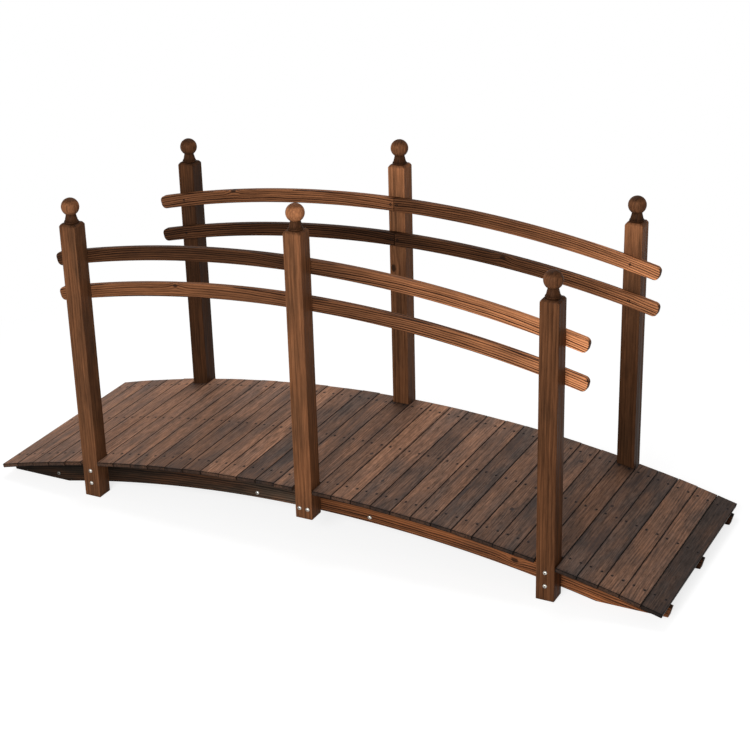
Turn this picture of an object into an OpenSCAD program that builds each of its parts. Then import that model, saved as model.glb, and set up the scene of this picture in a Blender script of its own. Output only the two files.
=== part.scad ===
// Arched timber garden bridge with a plank deck, six ball-topped posts and two curved rails a side.
// X runs along the bridge, the front side is at -Y, and Z is up from the ground. Sizes are in millimetres.

/* [Deck] */
// Width of a deck board along the bridge
board_w = 60; // [40:0.5:80]
// Gap between two deck boards
board_gap = 1.8; // [1:0.1:6]
// Thickness of a deck board
board_t = 12; // [8:0.5:25]
// How far a full board's end lies inside the posts' outer faces
board_end_in = 11; // [2:0.5:25]
// Boards from the middle posts to the end posts
boards_per_bay = 12; // [8:1:14]
// Boards past each pair of end posts
boards_past_post = 5; // [3:1:7]
// Gap between a short board's end and the post beside it
short_board_gap = 1.5; // [0.5:0.1:4]

/* [Arched stringers] */
// Radius of the stringers' top edge
arch_r = 4137; // [3200:1:6000]
// Depth of a stringer plank
stringer_depth = 78; // [60:0.5:110]
// Thickness of a stringer plank
stringer_t = 22; // [16:0.5:40]
// Height of a stringer's blunt end above the ground
tip_h = 29; // [16:0.5:50]
// How far a stringer runs past the last board
tip_overhang = 8; // [0:0.5:20]
// Gap between the two halves of a stringer
stringer_joint = 1; // [0.2:0.1:4]

/* [Splice cleats] */
// Length of a cleat
cleat_len = 440; // [400:1:700]
// Depth of a cleat
cleat_depth = 48; // [40:0.5:55]
// Thickness of a cleat
cleat_t = 22; // [12:0.5:40]
// Height of a cleat's lower edge above the stringer's lower edge
cleat_lift = 4; // [0:0.5:8]

/* [Posts] */
// Side of a square post
post_w = 51; // [40:0.5:56]
// Distance from the middle of the bridge to the posts' outer faces
post_out = 340.5; // [280:0.5:500]
// Width of the flat on a post's long edges
post_edge = 2; // [0.5:0.1:5]
// Height of a post's shoulder above the upper rail
post_above_rail = 87.5; // [40:0.5:140]
// Height of the bevel round a post's top
bevel_h = 7; // [4:0.5:20]
// Width of the bevel round a post's top
bevel_in = 5; // [2:0.1:5]
// How far a middle post reaches below the stringer
middle_post_drop = 7; // [0:0.5:30]

/* [Finials] */
// Diameter of the ball
ball_d = 50; // [42:0.5:60]
// Height of the ball's centre above the post
ball_h = 45; // [42:0.5:60]
// Diameter of the neck
neck_d = 27; // [20:0.5:32]
// Height of the neck above the post
neck_h = 17; // [12:0.5:20]
// Diameter of the collar
collar_d = 40; // [36:0.5:41]
// Height of the collar
collar_h = 6; // [3:0.5:10]
// How far inside the ball's surface the taper's tangent circle lies
taper_bite = 0.6; // [0.3:0.1:1.5]

/* [Rails] */
// Height of the upper rail's top edge over the deck at mid-span
rail_height = 674; // [500:1:900]
// Distance from the upper rail down to the lower rail
rail_pitch = 109; // [70:1:250]
// Radius of a rail's top edge
rail_r = 3456; // [2600:1:5000]
// Depth of a rail
rail_h = 40; // [30:0.5:60]
// Thickness of a rail
rail_t = 20; // [14:0.5:30]
// How far a rail runs past the end posts
rail_tail = 62; // [30:0.5:120]
// Radius of the rounded corners at a rail's outer end
rail_round = 15; // [4:0.5:15]
// Gap between the two halves of a rail
rail_joint = 1; // [0.2:0.1:4]

/* [Bolts] */
// Diameter of a bolt's shank
bolt_d = 6; // [4:0.5:8]
// Clearance of a bolt in its hole, across the diameter
bolt_clear = 0.6; // [0.2:0.1:1]
// Diameter of the domed head
head_d = 13; // [10:0.5:16]
// Height of the domed head
head_h = 4.5; // [3:0.1:5]
// Width of the nut across its flats
nut_w = 10; // [9:0.5:13]
// Thickness of the nut
nut_t = 5; // [3:0.5:8]
// Thread that stands out of the nut
thread_end = 3; // [1:0.5:8]
// Distance between the two bolts of an end post
end_bolt_pitch = 41; // [30:0.5:48]
// Distance between the two bolts of a middle post
middle_bolt_pitch = 26; // [20:0.5:30]
// Height of the middle posts' bolts above the stringer's lower edge
middle_bolt_up = 25; // [20:0.5:32]
// Distance of a splice bolt from mid-span
splice_bolt_x = 184; // [80:1:190]
// Height of a splice bolt above the stringer's lower edge
splice_bolt_up = 16; // [14:0.5:32]
// Distance of the bolt in a stringer's end from its tip
tip_bolt_in = 174; // [120:1:200]
// Height of the bolt in a stringer's end above the ground
tip_bolt_up = 20; // [12:0.5:26]

/* [Hidden] */

// Facets of the wide arcs, of turned pieces and of bolts
arc_fn = 720;
turned_fn = 72;
bolt_fn = 36;
// Sides of a nut
nut_sides = 6;
// Reach of a cutting shape past the piece that it cuts
cut_past = 50;

// Side and end signs
FRONT = -1;
BACK = 1;
LEFT = -1;
RIGHT = 1;

// Colours of the stained wood and of the plated steel
post_colour = "#6b4228";
rail_colour = "#7a4a2a";
stringer_colour = "#4a3022";
deck_colour = "#5a443a";
bolt_colour = "#c9c9c6";

// Turns a length along the stringers' top edge into an angle
function arc_angle(length) = length / arch_r * 180 / PI;

board_step = arc_angle(board_w + board_gap);
deck_end_angle = (boards_per_bay + boards_past_post) * board_step + arc_angle(board_w / 2);
tip_angle = deck_end_angle + arc_angle(tip_overhang);
tip_x = arch_r * sin(tip_angle);
crown_z = tip_h + arch_r * (1 - cos(tip_angle));
arch_centre_z = crown_z - arch_r;
stringer_low_r = arch_r - stringer_depth;

// Height of the stringers' lower edge, and of their middle line, at a distance from mid-span
function stringer_low_z(x) = arch_centre_z + sqrt(stringer_low_r ^ 2 - x ^ 2);
function stringer_mid_z(x) = arch_centre_z + sqrt((arch_r - stringer_depth / 2) ^ 2 - x ^ 2);

post_x = (arch_r + board_t / 2) * sin(boards_per_bay * board_step);
post_in = post_out - post_w;
full_board_len = 2 * (post_out - board_end_in);
short_board_len = 2 * (post_in - short_board_gap);

upper_rail_z = crown_z + board_t + rail_height;
lower_rail_z = upper_rail_z - rail_pitch;
rail_end_x = post_x + post_w / 2 + rail_tail;
rail_end_angle = asin((rail_end_x - rail_round) / (rail_r - rail_h / 2));

// Height of the upper rail's top edge at a distance from mid-span
function upper_rail_top(x) = upper_rail_z - rail_r + sqrt(rail_r ^ 2 - x ^ 2);
function post_top(x) = upper_rail_top(x) + post_above_rail + bevel_h;

middle_post_foot = stringer_low_z(0) - middle_post_drop;

bolt_hole_d = bolt_d + bolt_clear;
end_bolts = [for (s = [-1, 1]) [post_x, stringer_mid_z(post_x) + s * end_bolt_pitch / 2]];
middle_bolt = [middle_bolt_pitch / 2, stringer_low_z(0) + middle_bolt_up];
splice_bolt = [splice_bolt_x, stringer_low_z(splice_bolt_x) + splice_bolt_up];
tip_bolt = [tip_x - tip_bolt_in, tip_bolt_up];

// Lower Y of a plank that lies against the posts' inner faces, or in the middle
function inside_post_y(side, t) = side == FRONT ? -post_in : post_in - t;
function stringer_y(side) = side == 0 ? -stringer_t / 2 : inside_post_y(side, stringer_t);
// The cleat lies on the stringer's inner face, and behind the centre stringer
function cleat_y(side) =
    side == FRONT ? -post_in + stringer_t :
    side == BACK ? post_in - stringer_t - cleat_t : stringer_t / 2;

// Stands a flat outline drawn in X and Z upright, from y to y + t
module upright(y, t) {
    translate([0, y + t, 0]) rotate([90, 0, 0]) linear_extrude(t) children();
}

// Draws its children on the left or the right half of the bridge
module on_half(end) {
    mirror([end == LEFT ? 1 : 0, 0, 0]) children();
}

// Drills a hole along Y at [x, z]
module drill(at) {
    translate([at.x, 0, at.y]) rotate([90, 0, 0])
        cylinder(d = bolt_hole_d, h = 2 * (post_out + cut_past), center = true, $fn = bolt_fn);
}

// Ring round the arch's centre between two radii
module arch_ring(low_r, high_r, centre_z) {
    translate([0, centre_z]) difference() {
        circle(r = high_r, $fn = arc_fn);
        circle(r = low_r, $fn = arc_fn);
    }
}

// Wedge from a vertical cut at x to a radial line at an angle, from the arc's centre
module arch_wedge(x, angle, r, centre_z) {
    low = r / 2;
    high = r + cut_past;
    translate([0, centre_z])
        polygon([[x, low], [low * tan(angle), low], [high * tan(angle), high], [x, high]]);
}

// One deck board, at a number of steps from mid-span, seated on the stringers
module deck_board(step, length) {
    color(deck_colour)
        translate([0, 0, arch_centre_z]) rotate([0, step * board_step, 0])
            translate([-board_w / 2, -length / 2, arch_r]) cube([board_w, length, board_t]);
}

module end_boards(end) {
    for (i = [1:boards_past_post])
        deck_board(end * (boards_per_bay + i), full_board_len);
}

module bay_boards(end) {
    for (i = [1:boards_per_bay - 1])
        deck_board(end * i, full_board_len);
}

module short_board(place) {
    deck_board(place * boards_per_bay, short_board_len);
}

module stringer(side, end) {
    holes = concat(end_bolts, [middle_bolt, splice_bolt]);
    has_tip_bolt = side * end > 0;
    color(stringer_colour)
        on_half(end) difference() {
            upright(stringer_y(side), stringer_t) intersection() {
                arch_ring(stringer_low_r, arch_r, arch_centre_z);
                arch_wedge(stringer_joint / 2, tip_angle, arch_r, arch_centre_z);
                square([2 * tip_x, 2 * crown_z]);
            }
            for (hole = side == 0 ? [middle_bolt, splice_bolt] : holes) drill(hole);
            if (has_tip_bolt) drill(tip_bolt);
        }
}

module splice_cleat(side) {
    low_r = stringer_low_r + cleat_lift;
    color(stringer_colour)
        difference() {
            upright(cleat_y(side), cleat_t) intersection() {
                arch_ring(low_r, low_r + cleat_depth, arch_centre_z);
                translate([-cleat_len / 2, 0]) square([cleat_len, 2 * crown_z]);
            }
            for (end = [LEFT, RIGHT]) on_half(end) {
                drill(middle_bolt);
                drill(splice_bolt);
            }
        }
}

// Outline of a post's bevelled top in one upright plane, with its foot at foot_z
module post_face(foot_z, top_z) {
    half = post_w / 2;
    top_half = half - bevel_in;
    shoulder_z = top_z - bevel_h;
    polygon([[-half, foot_z], [half, foot_z], [half, shoulder_z], [top_half, top_z],
             [-top_half, top_z], [-half, shoulder_z]]);
}

// Cross-section of a post with flats on its long edges
module post_section() {
    half = post_w / 2;
    flat = half - post_edge;
    polygon([[-flat, -half], [flat, -half], [half, -flat], [half, flat],
             [flat, half], [-flat, half], [-half, flat], [-half, -flat]]);
}

module post(side, place) {
    x = place * post_x;
    foot_z = place == 0 ? middle_post_foot : 0;
    top_z = post_top(x);
    holes = place == 0 ? [middle_bolt, [-middle_bolt.x, middle_bolt.y]] :
        [for (bolt = end_bolts) [place * bolt.x, bolt.y]];
    color(post_colour)
        difference() {
            translate([x, side * (post_out - post_w / 2), 0]) intersection() {
                translate([0, 0, foot_z]) linear_extrude(top_z - foot_z) post_section();
                upright(-post_w / 2, post_w) post_face(foot_z, top_z);
                rotate([0, 0, 90]) upright(-post_w / 2, post_w) post_face(foot_z, top_z);
            }
            for (hole = holes) drill(hole);
        }
}

// Half outline of a finial: rounded collar, flared neck and a ball that tapers to the neck
module finial_outline() {
    ball_r = ball_d / 2;
    neck_r = neck_d / 2;
    edge_r = collar_h / 2;
    collar_flat_r = collar_d / 2 - edge_r;
    taper_r = ball_r - taper_bite;
    neck_reach = norm([neck_r, ball_h - neck_h]);
    touch_angle = acos(taper_r / neck_reach) - atan2(ball_h - neck_h, neck_r);
    touch = [taper_r * cos(touch_angle), ball_h + taper_r * sin(touch_angle)];
    intersection() {
        union() {
            translate([0, ball_h]) circle(r = ball_r, $fn = turned_fn);
            polygon([[0, 0], [collar_flat_r, 0], [collar_flat_r, collar_h], [neck_r, neck_h],
                     touch, [0, touch.y]]);
            translate([collar_flat_r, edge_r]) circle(r = edge_r, $fn = turned_fn);
        }
        square([ball_d, ball_h + ball_d]);
    }
}

module finial(side, place) {
    x = place * post_x;
    color(post_colour)
        translate([x, side * (post_out - post_w / 2), post_top(x)])
            rotate_extrude($fn = turned_fn) finial_outline();
}

// Outline of the right half of a rail, rounded at its outer end
module rail_outline(top_z) {
    centre_z = top_z - rail_r;
    intersection() {
        arch_ring(rail_r - rail_h, rail_r, centre_z);
        arch_wedge(rail_joint / 2, rail_end_angle, rail_r, centre_z);
    }
    translate([0, centre_z]) rotate(-rail_end_angle) {
        for (r = [rail_r - rail_h + rail_round, rail_r - rail_round])
            translate([0, r]) circle(r = rail_round, $fn = turned_fn);
        translate([0, rail_r - rail_h + rail_round]) square([rail_round, rail_h - 2 * rail_round]);
    }
}

module rail(side, end, top_z) {
    color(rail_colour)
        on_half(end) upright(inside_post_y(side, rail_t), rail_t) rail_outline(top_z);
}

// Domed bolt along +Y with its head's seat at y = 0 and its nut past the grip
module bolt(grip) {
    dome_r = (head_d ^ 2 / 4 + head_h ^ 2) / (2 * head_h);
    color(bolt_colour)
        rotate([-90, 0, 0]) {
            intersection() {
                translate([0, 0, dome_r - head_h]) sphere(r = dome_r, $fn = turned_fn);
                translate([0, 0, -head_h]) cylinder(d = head_d, h = head_h, $fn = bolt_fn);
            }
            cylinder(d = bolt_d, h = grip + nut_t + thread_end, $fn = bolt_fn);
            translate([0, 0, grip]) cylinder(d = nut_w / cos(180 / nut_sides), h = nut_t, $fn = nut_sides);
        }
}

// Places a bolt with its head on the outer face at a distance from the middle, on one side
module bolt_from(side, seat_y, at, grip) {
    translate([at.x, side * seat_y, at.y]) rotate([0, 0, side == BACK ? 180 : 0]) bolt(grip);
}

module post_bolts(side) {
    for (end = [LEFT, RIGHT]) {
        for (at = end_bolts)
            bolt_from(side, post_out, [end * at.x, at.y], post_w + stringer_t);
        bolt_from(side, post_out, [end * middle_bolt.x, middle_bolt.y], post_w + stringer_t + cleat_t);
    }
}

module splice_bolts() {
    grip = stringer_t + cleat_t;
    for (end = [LEFT, RIGHT]) {
        for (side = [FRONT, BACK])
            bolt_from(side, post_in, [end * splice_bolt.x, splice_bolt.y], grip);
        for (at = [middle_bolt, splice_bolt])
            bolt_from(FRONT, stringer_t / 2, [end * at.x, at.y], grip);
    }
}

module tip_bolts() {
    bolt_from(FRONT, post_in, [-tip_bolt.x, tip_bolt.y], stringer_t);
    bolt_from(BACK, post_in, tip_bolt, stringer_t);
}

end_boards(LEFT);  // left_end_boards
short_board(LEFT);  // left_short_board
bay_boards(LEFT);  // left_bay_boards
short_board(0);  // middle_short_board
bay_boards(RIGHT);  // right_bay_boards
short_board(RIGHT);  // right_short_board
end_boards(RIGHT);  // right_end_boards
stringer(FRONT, LEFT);  // front_left_stringer
stringer(FRONT, RIGHT);  // front_right_stringer
stringer(0, LEFT);  // centre_left_stringer
stringer(0, RIGHT);  // centre_right_stringer
stringer(BACK, LEFT);  // back_left_stringer
stringer(BACK, RIGHT);  // back_right_stringer
splice_cleat(FRONT);  // front_splice_cleat
splice_cleat(0);  // centre_splice_cleat
splice_cleat(BACK);  // back_splice_cleat
post(FRONT, LEFT);  // front_left_post
post(FRONT, 0);  // front_middle_post
post(FRONT, RIGHT);  // front_right_post
post(BACK, LEFT);  // back_left_post
post(BACK, 0);  // back_middle_post
post(BACK, RIGHT);  // back_right_post
finial(FRONT, LEFT);  // front_left_finial
finial(FRONT, 0);  // front_middle_finial
finial(FRONT, RIGHT);  // front_right_finial
finial(BACK, LEFT);  // back_left_finial
finial(BACK, 0);  // back_middle_finial
finial(BACK, RIGHT);  // back_right_finial
rail(FRONT, LEFT, upper_rail_z);  // front_upper_left_rail
rail(FRONT, RIGHT, upper_rail_z);  // front_upper_right_rail
rail(FRONT, LEFT, lower_rail_z);  // front_lower_left_rail
rail(FRONT, RIGHT, lower_rail_z);  // front_lower_right_rail
rail(BACK, LEFT, upper_rail_z);  // back_upper_left_rail
rail(BACK, RIGHT, upper_rail_z);  // back_upper_right_rail
rail(BACK, LEFT, lower_rail_z);  // back_lower_left_rail
rail(BACK, RIGHT, lower_rail_z);  // back_lower_right_rail
post_bolts(FRONT);  // front_post_bolts
post_bolts(BACK);  // back_post_bolts
splice_bolts();
tip_bolts();
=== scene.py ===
"""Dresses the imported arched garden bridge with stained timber, turned finials, nails and plated bolts."""

import logging
import math
import random
from collections.abc import Callable, Iterable
from dataclasses import dataclass, field, replace
from enum import Enum, IntEnum
from itertools import product
from typing import Any

import bmesh
import bpy
from bmesh.types import BMEdge, BMesh, BMVert
from bpy.types import Material, Node, NodeSocket, NodeTree
from mathutils import Matrix, Vector

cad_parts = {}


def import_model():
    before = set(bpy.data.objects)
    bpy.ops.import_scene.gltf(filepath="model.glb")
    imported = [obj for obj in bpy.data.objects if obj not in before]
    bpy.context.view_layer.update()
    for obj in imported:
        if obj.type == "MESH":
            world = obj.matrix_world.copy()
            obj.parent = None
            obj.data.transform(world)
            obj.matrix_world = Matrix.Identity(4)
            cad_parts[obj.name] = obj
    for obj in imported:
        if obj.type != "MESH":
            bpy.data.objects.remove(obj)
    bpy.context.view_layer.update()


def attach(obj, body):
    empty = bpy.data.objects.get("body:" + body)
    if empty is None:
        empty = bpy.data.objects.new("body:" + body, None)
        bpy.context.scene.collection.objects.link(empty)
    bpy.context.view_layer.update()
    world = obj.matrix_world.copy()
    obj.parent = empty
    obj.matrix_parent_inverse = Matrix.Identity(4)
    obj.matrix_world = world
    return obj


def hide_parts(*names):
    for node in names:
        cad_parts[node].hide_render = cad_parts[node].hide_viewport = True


Span = tuple[float, float]
Triple = tuple[float, float, float]
Colour = tuple[float, float, float, float]
Profile = list[Span]
Unbend = Callable[[Vector], Vector]

LOG = logging.getLogger("garden_bridge")
BODY = "root"
GRAIN_LAYERS = ("plank", "half", "pith", "stain", "lift", "knot")
CUT_LAYER = "cut"
GRAIN_PROBE = 1e-4
PITH_STARTS = (0, 40)
FLAT_FACE_AREA = 1.2e-4
SQUARE_ON = 0.9
FINE_STEPS = 2
ROUND_STEPS = 3
HEXAGON = 6
SAME_SPOT = 1e-6
NO_KNOT: Triple = (0.0, 0.0, 0.0)
WHITE: Colour = (1.0, 1.0, 1.0, 1.0)
BLACK: Colour = (0.0, 0.0, 0.0, 1.0)


class Side(IntEnum):
    """The long sides of the bridge, with the sign of their Y."""

    FRONT = -1
    CENTRE = 0
    BACK = 1


class Place(IntEnum):
    """Places along the bridge, with the sign of their X."""

    LEFT = -1
    MIDDLE = 0
    RIGHT = 1


class Level(IntEnum):
    """The two rails of a side, counted downwards."""

    UPPER = 0
    LOWER = 1


class Stain(Enum):
    """How a plank took the stain: its brightness, its share of warm brown, and how blotched it is."""

    CHARRED = (0.54, 0.05, 0.45)
    SLATE = (0.84, 0.22, 0.70)
    DUSK = (0.88, 0.42, 0.50)
    MAUVE = (0.97, 0.58, 0.35)
    UMBER = (0.74, 1.0, 0.16)
    MIDDLE = (1.0, 0.70, 0.28)
    WARM = (1.06, 0.86, 0.20)
    TAN = (1.14, 0.95, 0.14)


class Speckle(Enum):
    """The noises in the surfaces: stretch along, across and through the grain, detail and roughness."""

    KNOT = ((160.0, 160.0, 160.0), 2.0, 0.5)
    SWING = ((1.9, 7.0, 7.0), 1.0, 0.5)
    RIPPLE = ((9.0, 60.0, 60.0), 2.0, 0.5)
    FIBRE = ((12.0, 420.0, 420.0), 3.0, 0.65)
    STREAK = ((5.0, 190.0, 190.0), 4.0, 0.70)
    MOTTLE = ((34.0, 110.0, 110.0), 5.0, 0.72)
    CLOUD = ((5.0, 18.0, 18.0), 3.0, 0.6)
    PATCH = ((6.0, 22.0, 22.0), 3.0, 0.6)
    CHIP = ((60.0, 200.0, 200.0), 2.0, 0.5)
    HALO = ((240.0, 240.0, 240.0), 2.0, 0.5)
    TARNISH = ((260.0, 260.0, 260.0), 3.0, 0.5)
    SCRATCH = ((900.0, 900.0, 4000.0), 2.0, 0.5)


Wood = tuple[Stain, Triple, Triple]
SIDES = (Side.FRONT, Side.BACK)
ENDS = (Place.LEFT, Place.RIGHT)
CHARRED, SLATE, DUSK, MAUVE, UMBER, MIDDLE, WARM, TAN = Stain


def node_name(*parts: Enum | str) -> str:
    """Joins places and words into the name of a node or a piece."""
    return "_".join(part.name.lower() if isinstance(part, Enum) else part for part in parts)


def srgb(red: int, green: int, blue: int) -> Colour:
    """Turns a colour of 0 to 255 as a screen shows it into a linear one.

    Args:
        red: The red part.
        green: The green part.
        blue: The blue part.

    Returns:
        The linear colour with full alpha.
    """
    parts = [part / 255 for part in (red, green, blue)]
    low_end, slope = 0.04045, 12.92
    linear = [p / slope if p <= low_end else ((p + 0.055) / 1.055) ** 2.4 for p in parts]
    return (*linear, 1.0)


class Wire:
    """A value, vector or colour in a node tree. Arithmetic on it adds Math nodes."""

    def __init__(self, graph: "Graph", socket: NodeSocket) -> None:
        """Keeps the graph and the socket that the value comes from."""
        self.graph = graph
        self.socket = socket

    def __add__(self, other: "Value") -> "Wire":
        """Adds a value."""
        return self.graph.math("ADD", self, other)

    def __sub__(self, other: "Value") -> "Wire":
        """Subtracts a value."""
        return self.graph.math("SUBTRACT", self, other)

    def __rsub__(self, other: float) -> "Wire":
        """Subtracts this from a number."""
        return self.graph.math("SUBTRACT", other, self)

    def __mul__(self, other: "Value") -> "Wire":
        """Multiplies by a value."""
        return self.graph.math("MULTIPLY", self, other)

    def __truediv__(self, other: "Value") -> "Wire":
        """Divides by a value."""
        return self.graph.math("DIVIDE", self, other)

    def __pow__(self, other: "Value") -> "Wire":
        """Raises to a power."""
        return self.graph.math("POWER", self, other)

    __radd__ = __add__


Value = Wire | float | tuple[float, ...]
Inputs = dict[Any, Value]


class Graph:
    """Makes and joins the nodes of one material or node group."""

    def __init__(self, tree: NodeTree) -> None:
        """Keeps the tree that the nodes go into."""
        self.tree = tree

    def put(self, socket: NodeSocket, value: Value) -> None:
        """Links a wire to an input, or sets the input's own value.

        Args:
            socket: The input.
            value: The wire or the value.
        """
        if isinstance(value, Wire):
            self.tree.links.new(value.socket, socket)
        else:
            socket.default_value = value

    def add(self, kind: str, inputs: Inputs, **settings: Any) -> Node:
        """Adds a node.

        Args:
            kind: The node's type.
            inputs: Values or wires for its inputs, by name or number.
            **settings: The node's own properties.

        Returns:
            The new node.
        """
        node = self.tree.nodes.new(kind)
        for name, setting in settings.items():
            setattr(node, name, setting)
        for key, value in inputs.items():
            self.put(node.inputs[key], value)
        return node

    def get(self, kind: str, inputs: Inputs, output: int | str = 0, **settings: Any) -> Wire:
        """Adds a node and gives one of its outputs."""
        return Wire(self, self.add(kind, inputs, **settings).outputs[output])

    def math(self, operation: str, *values: Value, clamp: bool = False) -> Wire:
        """Adds a Math node and gives its result."""
        return self.get("ShaderNodeMath", dict(enumerate(values)), operation=operation, use_clamp=clamp)

    def vector(self, operation: str, *values: Value) -> Wire:
        """Adds a Vector Math node and gives its vector."""
        return self.get("ShaderNodeVectorMath", dict(enumerate(values)), operation=operation)

    def scaled(self, vector: Value, scale: Value) -> Wire:
        """Multiplies a vector or colour by one value."""
        return self.get("ShaderNodeVectorMath", {0: vector, "Scale": scale}, operation="SCALE")

    def hypot(self, first: Wire, second: Wire) -> Wire:
        """Gives the diagonal of two sides."""
        return self.math("SQRT", first**2 + second**2)

    def parts(self, vector: Value) -> list[Wire]:
        """Gives the three parts of a vector."""
        return [Wire(self, part) for part in self.add("ShaderNodeSeparateXYZ", {0: vector}).outputs]

    def blend(self, factor: Value, first: Value, second: Value) -> Wire:
        """Mixes two colours by a factor, through the Mix node's colour sockets."""
        inputs = {0: factor, 6: first, 7: second}
        return self.get("ShaderNodeMix", inputs, 2, data_type="RGBA", clamp_factor=True)

    def ramp(self, value: Value, low: float, high: float) -> Wire:
        """Rises smoothly from 0 at low to 1 at high."""
        inputs = {"Value": value, "From Min": low, "From Max": high}
        return self.get("ShaderNodeMapRange", inputs, interpolation_type="SMOOTHSTEP")

    def noise(self, spot: Value, speckle: Speckle) -> Wire:
        """Adds one of the noises and gives its value.

        Args:
            spot: The place in the surface.
            speckle: The noise.

        Returns:
            The noise, which lies round one half.
        """
        stretch, detail, roughness = speckle.value
        inputs = {"Vector": self.vector("MULTIPLY", spot, stretch), "Scale": 1.0}
        return self.get("ShaderNodeTexNoise", inputs | {"Detail": detail, "Roughness": roughness})

    def attribute(self, name: str, output: str = "Vector") -> Wire:
        """Reads what the piece's points carry."""
        return self.get("ShaderNodeAttribute", {}, output, attribute_name=name)

    def use(self, tree: NodeTree, inputs: Inputs) -> dict[str, Wire]:
        """Places a node group and gives its outputs by name."""
        node = self.add("ShaderNodeGroup", inputs, node_tree=tree)
        return {socket.name: Wire(self, socket) for socket in node.outputs}

    def surface(self, inputs: Inputs) -> None:
        """Sets inputs of the material's Principled shader."""
        for name, value in inputs.items():
            self.put(self.tree.nodes["Principled BSDF"].inputs[name], value)


class Group(Graph):
    """A shader node group with named inputs and outputs."""

    def __init__(self, name: str, vectors: Iterable[str], values: Iterable[str]) -> None:
        """Makes the group's tree and its inputs.

        Args:
            name: The group's name.
            vectors: Names of the vector inputs.
            values: Names of the value inputs.
        """
        super().__init__(bpy.data.node_groups.new(name, "ShaderNodeTree"))
        for kind, labels in {"NodeSocketVector": vectors, "NodeSocketFloat": values}.items():
            for label in labels:
                self.tree.interface.new_socket(label, in_out="INPUT", socket_type=kind)
        sockets = self.add("NodeGroupInput", {}).outputs
        self.given = {socket.name: Wire(self, socket) for socket in sockets}

    def give(self, results: dict[str, Wire]) -> NodeTree:
        """Makes the group's outputs and links them.

        Args:
            results: The wire of each output, by its name.

        Returns:
            The finished tree.
        """
        for label in results:
            self.tree.interface.new_socket(label, in_out="OUTPUT", socket_type="NodeSocketFloat")
        self.add("NodeGroupOutput", results)
        return self.tree


def start_material(name: str) -> tuple[Material, Graph]:
    """Makes a material.

    Args:
        name: The material's name.

    Returns:
        The material, and the graph of its nodes.
    """
    made = bpy.data.materials.new(name)
    made.use_nodes = True
    return made, Graph(made.node_tree)


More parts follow.
